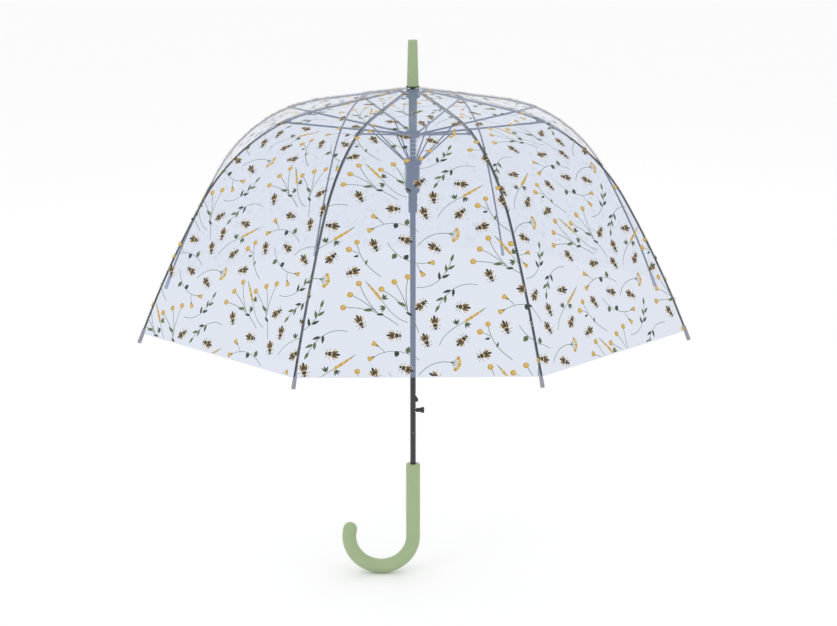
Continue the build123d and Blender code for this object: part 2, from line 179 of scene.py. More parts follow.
class UmbrellaColours(bpy.types.PropertyGroup):
    """Colours of the finishes."""

    film: colour("Film", "Tint of the clear film", (0.33, 0.42, 0.62))
    grip: colour("Grip", "Sage green of the handle and ferrule", (0.33, 0.425, 0.235))
    lacquer: colour("Lacquer", "Black lacquer of the shaft and ribs", (0.012, 0.012, 0.014))
    fittings: colour("Fittings", "Black plastic of the hub and runner", (0.016, 0.016, 0.018))
    tips: colour("Tips", "Grey plastic of the rib tips", (0.27, 0.27, 0.33))
    wire: colour("Wire", "Bright wire of the spring and pins", (0.42, 0.42, 0.44))
    floor: colour("Floor", "Pale floor", (0.97, 0.97, 0.97))
    mustard: colour("Mustard", "Yellow of the blossoms", (0.50, 0.31, 0.045))
    gold: colour("Gold", "Lighter yellow in the blossoms and bees", (0.62, 0.43, 0.13))
    leaf: colour("Leaf", "Soft green of the leaves", (0.085, 0.13, 0.055))
    dark_leaf: colour("Dark leaf", "Dark green of some leaves", (0.022, 0.034, 0.024))
    stem: colour("Stem", "Grey-green of the stems", (0.13, 0.18, 0.125))
    bee: colour("Bee", "Dark brown of the bees", (0.022, 0.014, 0.008))
    stripe: colour("Stripe", "Brown of the bees' wings", (0.115, 0.066, 0.017))
    wing: colour("Wing", "Cream of the wings' edges", (0.74, 0.63, 0.38))


INKS = ["mustard", "gold", "leaf", "dark_leaf", "stem", "bee", "stripe", "wing"]


# ======================================================================
# the dome's outline
# ======================================================================
def angle_of(start, end):
    """Direction from one point to another, in radians above the horizontal."""
    return math.atan2(end[1] - start[1], end[0] - start[0])


def arc(start, leaving, end, count):
    """Circle that leaves start in a direction and reaches end. With h half of its turn, the point
    at share s lies sin(h s)/sin(h) of the chord away, in the direction leaving + h s, and the
    arc runs there in the direction leaving + 2 h s."""
    half = angle_of(start, end) - leaving
    chord = math.dist(start, end)
    share = np.linspace(0, 1, count)
    reach = chord * np.sin(half * share) / math.sin(half)
    heading = leaving + half * share
    points = np.stack([start[0] + reach * np.cos(heading), start[1] + reach * np.sin(heading)], 1)
    return points, leaving + 2 * half * share


def leaving_angle(start, middle, end):
    """Direction in which the circle through three points leaves the first of them."""
    return angle_of(start, middle) + angle_of(start, end) - angle_of(middle, end)


def dome_outline(gap):
    """Radius, height and length along a rib of the surface that lies a gap outside the ribs'
    centreline: four arcs, moved out along their normals, after a level stretch at the crown."""
    crown, crown_heading = arc(
        RIB_START, leaving_angle(RIB_START, RIB_QUARTER, RIB_BEND), RIB_BEND, 40
    )
    bend, bend_heading = arc(RIB_BEND, crown_heading[-1], JOINT, 24)
    shoulder, shoulder_heading = arc(
        JOINT, leaving_angle(JOINT, SHOULDER_MIDDLE, SHOULDER_END), SHOULDER_END, 64
    )
    skirt, skirt_heading = arc(SHOULDER_END, shoulder_heading[-1], RIB_END, 48)
    points = np.concatenate([crown, bend[1:], shoulder[1:], skirt[1:]]) * MM
    heading = np.concatenate(
        [crown_heading, bend_heading[1:], shoulder_heading[1:], skirt_heading[1:]]
    )
    radius = points[:, 0] - gap * np.sin(heading)
    height = points[:, 1] + gap * np.cos(heading)
    hole = bpy.context.scene.umbrella_sizes.film_hole
    radius = np.concatenate([[hole, (hole + radius[0]) / 2], radius])
    height = np.concatenate([[height[0], height[0]], height]) + CROWN_Z
    steps = np.hypot(np.diff(radius), np.diff(height))
    return radius, height, np.concatenate([[0], np.cumsum(steps)])


def rib_azimuth(number):
    """Angle of a rib round the shaft, from the front, in radians."""
    return GORE * (number - 0.5)


def outward(azimuth):
    """Unit vector from the shaft at an angle from the front."""
    return np.array([math.sin(azimuth), -math.cos(azimuth), 0.0])


def along(azimuth):
    """Unit vector round the shaft at an angle from the front."""
    return np.array([math.cos(azimuth), math.sin(azimuth), 0.0])


def split_radius(share):
    """Radius along a rib at which the film is cut, so that the cut lies straight above the
    rib's joint. A point at a share of the way to the panel's middle stands sin^2(half gore)
    of that share closer to the shaft, seen along the rib."""
    return JOINT[0] * MM / (1 - share * math.sin(HALF_GORE) ** 2)


# ======================================================================
# mesh kit
# ======================================================================
def grid_faces(rows, columns, first=0):
    """Quads of a grid of rows by columns, whose points are numbered row by row."""
    corner = first + (np.arange(rows - 1)[:, None] * columns + np.arange(columns - 1)).ravel()
    return np.stack([corner, corner + columns, corner + columns + 1, corner + 1], 1)


def new_piece(name, points, faces, material):
    """Object at the origin with the given points and faces, smooth shaded."""
    mesh = bpy.data.meshes.new(name)
    mesh.from_pydata(points.reshape(-1, 3).tolist(), [], [list(face) for face in faces])
    mesh.validate()
    mesh.polygons.foreach_set("use_smooth", np.ones(len(mesh.polygons), bool))
    mesh.materials.append(material)
    piece = bpy.data.objects.new(name, mesh)
    bpy.context.scene.collection.objects.link(piece)
    return piece


# ======================================================================
# material kit
# ======================================================================
def new_group(name, inputs, outputs):
    """Shader node group with named inputs, given as name, kind and default, and outputs."""
    group = bpy.data.node_groups.new(name, "ShaderNodeTree")
    for label, kind, default in inputs:
        socket = group.interface.new_socket(label, in_out="INPUT", socket_type=kind)
        socket.default_value = default
    for label, kind in outputs:
        group.interface.new_socket(label, in_out="OUTPUT", socket_type=kind)
    return group, group.nodes.new("NodeGroupInput"), group.nodes.new("NodeGroupOutput")


def node(tree, kind, **settings):
    """New node with its settings; a name that starts with in_ sets that input's value."""
    made = tree.nodes.new(kind)
    for key, value in settings.items():
        if key.startswith("in_"):
            label = key[3:].replace("_", " ")
            match = [s for s in made.inputs if s.name.lower() == label and s.enabled]
            match[0].default_value = value
        else:
            setattr(made, key, value)
    return made


def maths(tree, operation, first, second, clamp=False):
    """Math node on two values, each a socket or a number; gives its output."""
    made = tree.nodes.new("ShaderNodeMath")
    made.operation = operation
    made.use_clamp = clamp
    for socket, value in zip(made.inputs, (first, second)):
        if isinstance(value, (int, float)):
            socket.default_value = value
        else:
            tree.links.new(value, socket)
    return made.outputs[0]


def mottle_group():
    """Slow and fast noise in object space: a mask about 0.5 for patchy colour and gloss."""
    name = "mottle"
    if name in bpy.data.node_groups:
        return bpy.data.node_groups[name]
    group, given, result = new_group(
        name,
        [("Patch scale", "NodeSocketFloat", 30.0), ("Speck scale", "NodeSocketFloat", 900.0)],
        [("Patches", "NodeSocketFloat"), ("Specks", "NodeSocketFloat")],
    )
    place = group.nodes.new("ShaderNodeTexCoord")
    for label, scale in (("Patches", "Patch scale"), ("Specks", "Speck scale")):
        noise = node(group, "ShaderNodeTexNoise", in_detail=3.0, in_roughness=0.55)
        group.links.new(place.outputs["Object"], noise.inputs["Vector"])
        group.links.new(given.outputs[scale], noise.inputs["Scale"])
        group.links.new(noise.outputs["Fac"], result.inputs[label])
    return group


def rub_group():
    """Mask of fine lengthwise rubs: noise stretched along Z, cut to its brightest threads."""
    name = "rub_marks"
    if name in bpy.data.node_groups:
        return bpy.data.node_groups[name]
    group, given, result = new_group(
        name,
        [("Scale", "NodeSocketFloat", 1.0), ("Amount", "NodeSocketFloat", 0.5)],
        [("Rubs", "NodeSocketFloat")],
    )
    place = group.nodes.new("ShaderNodeTexCoord")
    stretch = node(group, "ShaderNodeMapping")
    stretch.inputs["Scale"].default_value = (1400.0, 1400.0, 60.0)
    noise = node(group, "ShaderNodeTexNoise", in_detail=2.0)
    group.links.new(place.outputs["Object"], stretch.inputs["Vector"])
    group.links.new(stretch.outputs["Vector"], noise.inputs["Vector"])
    group.links.new(given.outputs["Scale"], noise.inputs["Scale"])
    threads = maths(group, "SUBTRACT", noise.outputs["Fac"], 0.58)
    threads = maths(group, "MULTIPLY", threads, 6.0, clamp=True)
    threads = maths(group, "MULTIPLY", threads, given.outputs["Amount"])
    group.links.new(threads, result.inputs["Rubs"])
    return group


def place_group(tree, group, **values):
    """Puts a node group in a material, with values for its inputs."""
    made = tree.nodes.new("ShaderNodeGroup")
    made.node_tree = group
    for key, value in values.items():
        made.inputs[key.replace("_", " ").capitalize()].default_value = value
    return made


def new_material(name):
    """Material with a Principled shader; gives the material, its tree and the shader."""
    material = bpy.data.materials.new(name)
    material.use_nodes = True
    return material, material.node_tree, material.node_tree.nodes["Principled BSDF"]


def blend_colours(tree, factor, first, second):
    """Mix of two colours by a factor socket, the first one a colour or a socket; gives the
    colour's socket."""
    mix = node(tree, "ShaderNodeMix", data_type="RGBA")
    tree.links.new(factor, mix.inputs["Factor"])
    colours = [s for s in mix.inputs if s.type == "RGBA"]
    if isinstance(first, bpy.types.NodeSocket):
        tree.links.new(first, colours[0])
    else:
        colours[0].default_value = (*first, 1)
    colours[1].default_value = (*second, 1)
    return [s for s in mix.outputs if s.type == "RGBA"][0]


def scaled(value, factor):
    """Colour made lighter or darker by a factor."""
    return tuple(min(1.0, part * factor) for part in value)


def add_bump(tree, shader, height, distance, strength=0.5):
    """Bump from a height socket, in metres of depth, into the shader's normal."""
    bump = node(tree, "ShaderNodeBump", in_strength=strength, in_distance=distance)
    tree.links.new(height, bump.inputs["Height"])
    tree.links.new(bump.outputs["Normal"], shader.inputs["Normal"])


def range_of(tree, value, low, high):
    """Value from 0 to 1 spread over a new range."""
    spread = node(tree, "ShaderNodeMapRange")
    spread.inputs["To Min"].default_value = low
    spread.inputs["To Max"].default_value = high
    tree.links.new(value, spread.inputs["Value"])
    return spread.outputs["Result"]


def smooth_step(tree, value, span, low=0.0, high=1.0):
    """Value that eases from low to high as a socket crosses a span."""
    eased = node(tree, "ShaderNodeMapRange", interpolation_type="SMOOTHSTEP")
    eased.inputs["From Min"].default_value = span[0]
    eased.inputs["From Max"].default_value = span[1]
    eased.inputs["To Min"].default_value = low
    eased.inputs["To Max"].default_value = high
    tree.links.new(value, eased.inputs["Value"])
    return eased.outputs["Result"]


def seen_from_behind(tree, hidden):
    """Factor that is 1 on a face's outer side and loses the hidden share on its inner side."""
    sides = tree.nodes.new("ShaderNodeNewGeometry")
    return maths(tree, "ADD", maths(tree, "MULTIPLY", sides.outputs["Backfacing"], -hidden), 1.0)


def lacquered_steel():
    """Black baked lacquer on steel, with faint lengthwise rubs that show a greyer base."""
    material, tree, shader = new_material("black_lacquer")
    tone = bpy.context.scene.umbrella_colours.lacquer
    mottle = place_group(tree, mottle_group(), patch_scale=25.0, speck_scale=1500.0)
    rubs = place_group(tree, rub_group(), scale=1.0, amount=0.35)
    tree.links.new(
        blend_colours(tree, rubs.outputs["Rubs"], tone, scaled(tone, 6.0)),
        shader.inputs["Base Color"],
    )
    tree.links.new(
        range_of(tree, mottle.outputs["Patches"], 0.24, 0.42), shader.inputs["Roughness"]
    )
    add_bump(tree, shader, mottle.outputs["Specks"], 0.02 * MM, 0.35)
    shader.inputs["Coat Weight"].default_value = 0.35
    shader.inputs["Coat Roughness"].default_value = 0.12
    return material


def moulded_plastic(name, tone, low, high, grain, sheen=0.0):
    """Moulded plastic: soft patches of colour, fine grain, roughness between two values."""
    material, tree, shader = new_material(name)
    mottle = place_group(tree, mottle_group(), patch_scale=18.0, speck_scale=grain)
    tree.links.new(
        blend_colours(tree, mottle.outputs["Patches"], scaled(tone, 0.93), scaled(tone, 1.07)),
        shader.inputs["Base Color"],
    )
    tree.links.new(
        range_of(tree, mottle.outputs["Patches"], low, high), shader.inputs["Roughness"]
    )
    add_bump(tree, shader, mottle.outputs["Specks"], 0.05 * MM, 0.3)
    shader.inputs["Sheen Weight"].default_value = sheen
    return material


def bright_wire():
    """Drawn steel wire, slightly dull, with fine drawing marks."""
    material, tree, shader = new_material("bright_wire")
    tone = bpy.context.scene.umbrella_colours.wire
    mottle = place_group(tree, mottle_group(), patch_scale=60.0, speck_scale=2500.0)
    tree.links.new(
        blend_colours(tree, mottle.outputs["Patches"], scaled(tone, 0.8), scaled(tone, 1.15)),
        shader.inputs["Base Color"],
    )
    tree.links.new(
        range_of(tree, mottle.outputs["Specks"], 0.22, 0.4), shader.inputs["Roughness"]
    )
    shader.inputs["Metallic"].default_value = 0.9
    return material


def clear_film():
    """Clear flexible film. Its UV map holds the distance from the rib and along it, in metres.
    It is milky over the panel, dark in the narrow line where it lies against the rib, faintly
    rippled, and more opaque where it is seen edge on. Its inner side is almost clear, and so is
    a band beside the rib where it bends over the silhouette below the stretchers."""
    material, tree, shader = new_material("clear_film")
    colours = bpy.context.scene.umbrella_colours
    spread = tree.nodes.new("ShaderNodeUVMap")
    spread.uv_map = "panel"
    parts = tree.nodes.new("ShaderNodeSeparateXYZ")
    tree.links.new(spread.outputs["UV"], parts.inputs["Vector"])
    away, down = parts.outputs["X"], parts.outputs["Y"]
    mottle = place_group(tree, mottle_group(), patch_scale=7.0, speck_scale=45.0)
    body = blend_colours(
        tree, mottle.outputs["Patches"], scaled(colours.film, 0.95), scaled(colours.film, 1.05)
    )
    touching = smooth_step(tree, away, RIB_LINE, 1.0, 0.0)
    tree.links.new(
        blend_colours(tree, touching, body, colours.lacquer), shader.inputs["Base Color"]
    )
    edge = tree.nodes.new("ShaderNodeLayerWeight")
    edge.inputs["Blend"].default_value = 0.5
    cover = maths(tree, "ADD", maths(tree, "MULTIPLY", touching, 0.5), 0.42)
    rising = maths(tree, "MULTIPLY", maths(tree, "POWER", edge.outputs["Facing"], 3.0), 0.15)
    alpha = maths(tree, "ADD", cover, rising, clamp=True)
    beside = smooth_step(tree, away, BARE_BAND, 0.85, 0.0)
    grazing = smooth_step(tree, edge.outputs["Facing"], (0.4, 0.62))
    below = smooth_step(tree, down, BARE_FROM)
    cleared = maths(tree, "MULTIPLY", maths(tree, "MULTIPLY", beside, grazing), below)
    alpha = maths(tree, "MULTIPLY", alpha, maths(tree, "SUBTRACT", 1.0, cleared))
    alpha = maths(tree, "MULTIPLY", alpha, seen_from_behind(tree, 0.85))
    tree.links.new(alpha, shader.inputs["Alpha"])
    tree.links.new(
        range_of(tree, mottle.outputs["Patches"], 0.1, 0.22), shader.inputs["Roughness"]
    )
    ripples = node(tree, "ShaderNodeTexNoise", in_detail=2.0, in_scale=1.0)
    stretch = node(tree, "ShaderNodeMapping")
    stretch.inputs["Scale"].default_value = (9.0, 42.0, 1.0)
    tree.links.new(spread.outputs["UV"], stretch.inputs["Vector"])
    tree.links.new(stretch.outputs["Vector"], ripples.inputs["Vector"])
    add_bump(tree, shader, ripples.outputs["Fac"], 4 * MM, 0.35)
    shader.inputs["IOR"].default_value = 1.52
    return material


def printed_ink():
    """Ink on the outside of the film, its colour in the corner attribute ink. From inside the
    dome, behind the milky film, it is only a faint shade."""
    material, tree, shader = new_material("printed_ink")
    ink = node(tree, "ShaderNodeVertexColor", layer_name="ink")
    mottle = place_group(tree, mottle_group(), patch_scale=220.0, speck_scale=1800.0)
    value = node(tree, "ShaderNodeHueSaturation")
    tree.links.new(ink.outputs["Color"], value.inputs["Color"])
    tree.links.new(
        range_of(tree, mottle.outputs["Patches"], 0.82, 1.2), value.inputs["Value"]
    )
    tree.links.new(value.outputs["Color"], shader.inputs["Base Color"])
    tree.links.new(
        range_of(tree, mottle.outputs["Specks"], 0.35, 0.55), shader.inputs["Roughness"]
    )
    tree.links.new(seen_from_behind(tree, 0.96), shader.inputs["Alpha"])
    return material


def material_of(name):
    """Material made by the finishes operator."""
    return bpy.data.materials[name]


# ======================================================================
# printed motifs: each is a list of (outline, ink, layer), in millimetres
# ======================================================================
def turned(points, angle, at=(0, 0), size=1.0):
    """Points turned anticlockwise by an angle in degrees, scaled, then moved."""
    c, s = math.cos(math.radians(angle)), math.sin(math.radians(angle))
    return np.asarray(points, float) * size @ np.array([[c, s], [-s, c]]) + np.asarray(at, float)


def oval(at, length, width, angle=0.0, count=12):
    """Ellipse, its length along its own X."""
    turn = np.linspace(0, 2 * math.pi, count, endpoint=False)
    return turned(np.stack([length / 2 * np.cos(turn), width / 2 * np.sin(turn)], 1), angle, at)


def leaf_shape(at, angle, length, width):
    """Leaf from its stalk's end: half width follows sin(pi t^0.8), pointed at both ends."""
    t = np.linspace(0, 1, 8)
    half = width / 2 * np.sin(math.pi * t**0.8)
    upper = np.stack([length * t, half], 1)
    lower = np.stack([length * t[1:-1], -half[1:-1]], 1)[::-1]
    return turned(np.concatenate([upper, lower]), angle, at)


def curve_points(points, count):
    """Bezier curve through its first and last of three or four control points."""
    t = np.linspace(0, 1, count)[:, None]
    points = np.asarray(points, float)
    order = len(points) - 1
    return sum(
        math.comb(order, k) * (1 - t) ** (order - k) * t**k * points[k] for k in range(order + 1)
    )


def left_of(line):
    """Unit vectors to the left of a line's direction at each of its points."""
    step = np.gradient(line, axis=0)
    return np.stack([-step[:, 1], step[:, 0]], 1) / np.linalg.norm(step, axis=1)[:, None]


def ribbon_quads(line, width):
    """Quads of a ribbon about a line, of a width that is one number or one for each point."""
    half = left_of(line) * width / 2
    left, right = line + half, line - half
    return [
        np.array([right[k], right[k + 1], left[k + 1], left[k]]) for k in range(len(line) - 1)
    ]


def stem_shape(points, width, ink="stem", count=9, layer=0):
    """Ribbon of even width along a Bezier curve, as one quad for each step."""
    return [(quad, ink, layer) for quad in ribbon_quads(curve_points(points, count), width)]


def blossom(at, size=8.0):
    """Round blossom: a mustard disc with a lighter, off-centre middle and a few dots."""
    shapes = [(oval(at, size, size * 0.94, 20), "mustard", 1)]
    shapes.append((oval((at[0] + 0.6, at[1] + 0.7), size * 0.6, size * 0.5, 35, 10), "gold", 2))
    for turn in (80, 200, 320):
        spot = turned([(size * 0.3, 0)], turn, at)[0]
        shapes.append((oval(spot, 1.3, 1.1, 0, 6), "mustard", 3))
    return shapes


def bell(at, angle, size=7.5):
    """Small bell blossom: a green cup and a widening mustard mouth."""
    mouth = [(0, -1.2), (size, -size * 0.5), (size * 1.15, 0), (size, size * 0.5), (0, 1.2)]
    inner = [(size * 0.45, -1.0), (size * 0.95, -1.6), (size * 0.95, 1.2), (size * 0.45, 0.8)]
    return [
        (turned(mouth, angle, at), "mustard", 1),
        (turned(inner, angle, at), "gold", 2),
        (oval(turned([(0.2, 0)], angle, at)[0], 3.2, 2.4, angle, 8), "leaf", 3),
    ]


def bee():
    """Bee from above, head towards +Y: dark body with a pale waist and neck, brown wings folded
    back with cream edges, and six thin legs."""
    shapes = []
    for side in (-1, 1):
        for root, tip in (
            ((1.8, 5.4), (5.6, 8.6)),
            ((2.4, 3.2), (7.6, 3.4)),
            ((2.0, 0.6), (7.4, -4.6)),
        ):
            knee = (root[0] * 0.3 + tip[0] * 0.7, root[1] * 0.5 + tip[1] * 0.5 + 0.8)
            line = [(side * x, y) for x, y in (root, knee, tip)]
            shapes += stem_shape(line, 0.9, "wing", 4, 0)
            shapes += stem_shape([(x * 0.97, y + 0.15) for x, y in line], 0.45, "bee", 4, 1)
        shapes += stem_shape([(side * 0.7, 8.0), (side * 1.3, 9.4), (side * 2.4, 10)], 0.5, "bee", 3)
        shapes.append((oval((side * 3.0, -2.6), 11.2, 3.6, 90 + side * 13), "wing", 1))
        shapes.append((oval((side * 2.9, -2.5), 10.0, 2.7, 90 + side * 13), "stripe", 2))
    shapes.append((oval((0, -4.8), 10.8, 3.6, 90, 14), "bee", 3))
    shapes.append((oval((0, -4.6), 8.0, 0.5, 90, 8), "stripe", 4))
    shapes.append((oval((0, 3.7), 5.6, 5.2, 0), "bee", 3))
    shapes.append((oval((0, 0.9), 4.4, 0.9, 0, 10), "wing", 4))
    shapes.append((oval((0, 5.9), 3.4, 0.7, 0, 8), "gold", 4))
    shapes.append((oval((0, 7.6), 3.8, 3.0, 0, 10), "bee", 3))
    return shapes


def three_blossom_sprig():
    """Long stem that forks to three round blossoms, with one green and one dark leaf."""
    shapes = stem_shape([(34, -32), (18, -14), (2, -2), (-30, 4)], 0.9, count=12)
    shapes += stem_shape([(8, -8), (-4, 8), (-18, 18)], 0.9, count=8)
    shapes += stem_shape([(10, -10), (-2, 8), (-6, 30)], 0.9, count=9)
    for at in ((-33, 4.5), (-21, 20), (-7, 33)):
        shapes += blossom(at, 8.2)
    shapes.append((leaf_shape((5, -5), 176, 13, 4.6), "leaf", 1))
    shapes.append((leaf_shape((18, -14), 172, 10.5, 3.6), "dark_leaf", 1))
    return shapes


def leafy_branch():
    """Curved stem with five narrow leaves towards its end."""
    shapes = stem_shape([(30, 8), (12, 16), (-8, 10), (-26, -14)], 0.8, count=12)
    for at, angle, ink in (
        ((-24, -12), 232, "leaf"),
        ((-17, -2.5), 196, "leaf"),
        ((-14, 0.5), 258, "leaf"),
        ((-6, 6.2), 190, "dark_leaf"),
        ((-2, 7.5), 256, "dark_leaf"),
    ):
        shapes.append((leaf_shape(at, angle, 11.5, 3.9), ink, 1))
    return shapes


def bell_sprig():
    """Arched stem with two bells and two round dark leaves."""
    shapes = stem_shape([(32, -8), (14, 6), (-10, 8), (-28, -4)], 0.8, count=11)
    shapes += stem_shape([(-14, 3), (-19, 8), (-23, 11)], 0.8, count=5)
    shapes += bell((-28, -4), 205)
    shapes += bell((-23, 11), 150)
    shapes.append((leaf_shape((3, 4.2), 255, 8.5, 7.0), "dark_leaf", 1))
    shapes.append((leaf_shape((16, 1), 78, 9.5, 7.0), "leaf", 1))
    return shapes


def catkin_sprig():
    """Curved stem that ends in a knobbly tapering gold catkin, with two small leaf clusters."""
    shapes = stem_shape([(-36, -32), (-30, -14), (-14, -6), (4, 4)], 0.8, count=12)
    spine = curve_points([(-4, 0), (8, 7), (25, 20)], 9)
    side = left_of(spine)
    width = np.array([1.0, 2.4, 3.0, 3.0, 2.6, 2.2, 1.7, 1.2, 0.4])[:, None]
    for k, quad in enumerate(ribbon_quads(spine, width)):
        shapes.append((quad, "mustard" if k < 6 else "stem", 1))
        for hand in (-1, 1) if 0 < k < 7 else ():
            bud = spine[k] + hand * side[k] * width[k] * 0.42
            shapes.append((oval(bud, 3.4, 1.9, 38 + hand * 26, 7), ("gold", "mustard")[k % 2], 2))
    for at, angles in (((-13, -4), (75, 110, 140)), ((-2, -1), (-20, -50, -85))):
        for angle, ink in zip(angles, ("leaf", "dark_leaf", "leaf")):
            shapes.append((leaf_shape(at, angle, 8.5, 2.8), ink, 1))
    return shapes


def umbel_sprig():
    """Arched stem that ends in a fan of small yellow heads."""
    shapes = stem_shape([(-34, -6), (-16, 8), (2, 4), (12, -1)], 0.9, count=11)
    for k, angle in enumerate((-78, -54, -30, -6, 18)):
        tip = turned([(10.5, 0)], angle, (12, -1))[0]
        middle = (np.array([12, -1]) + tip) / 2 + (0.6, 0.4)
        shapes += stem_shape([(12, -1), middle, tip], 0.7, "leaf", 3)
        shapes.append((oval(tip, 5.4, 4.8, angle + 90, 9), ("mustard", "gold")[k % 2], 1 + k % 2))
    shapes.append((oval((12, -1), 3, 2.2, -30, 8), "leaf", 3))
    return shapes


def pair_sprig():
    """Bent stem with two round blossoms and two small leaves."""
    shapes = stem_shape([(24, -26), (8, -14), (-2, -2), (-6, 20)], 0.9, count=11)
    shapes += stem_shape([(-3.5, 6), (-8, 10), (-14, 12)], 0.8, count=5)
    shapes += blossom((-6, 23), 7.6)
    shapes += blossom((-17, 13), 8.4)
    shapes.append((leaf_shape((-4, 4), 190, 7.5, 3.2), "dark_leaf", 1))
    shapes.append((leaf_shape((4, -9), 70, 8, 3.2), "leaf", 1))
    return shapes


# One repeat of the print: its size, how far each column is shifted, and what it holds.
REPEAT = (168.0, 172.0)
REPEAT_SHIFT = 61.0
SPRIGS = [
    (three_blossom_sprig, 0), (catkin_sprig, 0), (bell_sprig, 165), (leafy_branch, 15),
    (three_blossom_sprig, -12), (umbel_sprig, 10), (pair_sprig, 0), (leafy_branch, 190),
    (bell_sprig, 5), (catkin_sprig, 95),
]
BEES = 11
SPRIG_SIZE = 0.98
TRIES = 90  # places tried for each motif in each round
ROUNDS = 4
SEED = 7
MOTIF_SPOTS = 14  # about as many of a motif's outlines are tested for room


def gaps_between(spots, others):
    """Smallest distance from each row of spots to the others or to their copies in the
    repeats beside them."""
    across, up = np.moveaxis(spots[:, :, None] - others, -1, 0)
    column = np.round(across / REPEAT[0])
    up = up - column * REPEAT_SHIFT
    up = up - np.round(up / REPEAT[1]) * REPEAT[1]
    return np.hypot(across - column * REPEAT[0], up).min((1, 2))


def repeat_shapes():
    """Every outline of one repeat: points in anticlockwise order, ink number and layer. Each
    motif in turn takes the place, of many tried at random with a fixed seed, whose outlines
    stay farthest from the others; some more rounds even the spacing out."""
    draw = np.random.default_rng(SEED)
    motifs = [(motif(), angle, 12, SPRIG_SIZE) for motif, angle in SPRIGS]
    motifs += [(bee(), 0, 180, 1.0)] * BEES
    spots, places = {}, {}
    for turn in range(ROUNDS * len(motifs)):
        number = turn % len(motifs)
        outlines, lean, swing, size = motifs[number]
        middles = np.array([points.mean(0) for points, _, _ in outlines])
        middles = middles[:: max(1, len(middles) // MOTIF_SPOTS)] * size
        at = draw.uniform((0, 0), REPEAT, (TRIES, 2))
        angle = lean + draw.uniform(-swing, swing, TRIES)
        if number in places:
            at[0], angle[0] = places[number]
        tried = np.array([turned(middles, a, p) for a, p in zip(angle, at)])
        others = [spots[k] for k in spots if k != number]
        room = gaps_between(tried, np.concatenate(others)) if others else np.zeros(TRIES)
        best = int(room.argmax())
        spots[number], places[number] = tried[best], (at[best], angle[best])
    shapes = []
    for number, (outlines, _, _, size) in enumerate(motifs):
        at, angle = places[number]
        for points, ink, layer in outlines:
            placed = turned(points, angle, at, size)
            x, y = placed.T
            if x @ np.roll(y, -1) < y @ np.roll(x, -1):
                placed = placed[::-1]
            shapes.append((placed, INKS.index(ink), layer))
    return shapes


# ======================================================================
# operators
# ======================================================================
class UMBRELLA_OT_finishes(bpy.types.Operator):
    """Make the finishes and put them on the frame's own pieces"""

    bl_idname = "umbrella.finishes"
    bl_label = "Finishes"

    def execute(self, context):
        colours = context.scene.umbrella_colours
        lacquer, wire, film = lacquered_steel(), bright_wire(), clear_film()
        green = moulded_plastic("sage_green_plastic", tuple(colours.grip), 0.42, 0.6, 700.0, 0.1)
        black = moulded_plastic("black_plastic", tuple(colours.fittings), 0.3, 0.5, 1200.0)
        grey = moulded_plastic("grey_tip_plastic", tuple(colours.tips), 0.18, 0.32, 1500.0)
        printed_ink()
        by_slot = {
            "shaft": lacquer, "ribs": lacquer, "green_plastic": green, "black_plastic": black,
            "tip_plastic": grey, "wire": wire, "film": film,
        }
        for part in frame["record"]["subparts"]:
            piece = frame["nodes"][part["node"]]
            piece.data.materials.clear()
            piece.data.materials.append(by_slot[part["material_slot"]])
        return {"FINISHED"}


class UMBRELLA_OT_film(bpy.types.Operator):
    """Make the film: at each rib one saddle-shaped sheet above the joint and one below it,
    which reach to the middles of the panels beside the rib"""

    bl_idname = "umbrella.film"
    bl_label = "Film"

    def execute(self, context):
        sizes = context.scene.umbrella_sizes
        outline = dome_outline(sizes.film_gap)
        for number in range(1, RIBS + 1):
            for level in ("upper", "lower"):
                self.make_sheet(number, level, outline, sizes)
        return {"FINISHED"}

    def make_sheet(self, number, level, outline, sizes):
        """One sheet, as a grid. A column is a share of the way from the rib to the panel's
        middle, a row a share of the way along the rib. A point stands at its radius along the
        rib's direction, moved along the panel's own straight chord by share times radius times
        sin(half gore). The UV of each point is its distance from the rib and along it."""
        radius, height, length = outline
        columns = np.linspace(-1, 1, FILM_COLUMNS)
        share = np.abs(columns)
        cut = np.interp(split_radius(share), radius, length)
        rows = np.linspace(0, 1, FILM_ROWS[level])[:, None]
        hem = np.full_like(cut, length[-1])
        start, end = (0 * cut, cut) if level == "upper" else (cut, hem)
        run = start + rows * (end - start)
        reach = np.interp(run, length, radius)
        azimuth = rib_azimuth(number)
        across = share * reach * math.sin(HALF_GORE)
        chords = np.array([np.sign(c) * along(azimuth + np.sign(c) * HALF_GORE) for c in columns])
        points = reach[..., None] * outward(azimuth) + across[..., None] * chords
        points[..., 2] += np.interp(run, length, height)

        name = f"film_{level}_{number}"
        faces = grid_faces(*run.shape)
        piece = new_piece(name, points, faces, material_of("clear_film"))
        layer = piece.data.uv_layers.new(name="panel")
        corners = np.empty(len(piece.data.loops), np.int32)
        piece.data.loops.foreach_get("vertex_index", corners)
        spread = np.stack([across, run], -1).reshape(-1, 2)
        layer.data.foreach_set("uv", spread[corners].astype(np.float32).ravel())
        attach(piece, f"rib_{level}_{number}")
        fold_sideways(piece)
        if number == 1 and level == "upper":
            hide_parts("canopy")


def fold_sideways(piece):
    """Gives a film or print piece its own copy of its mesh."""
    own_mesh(piece)


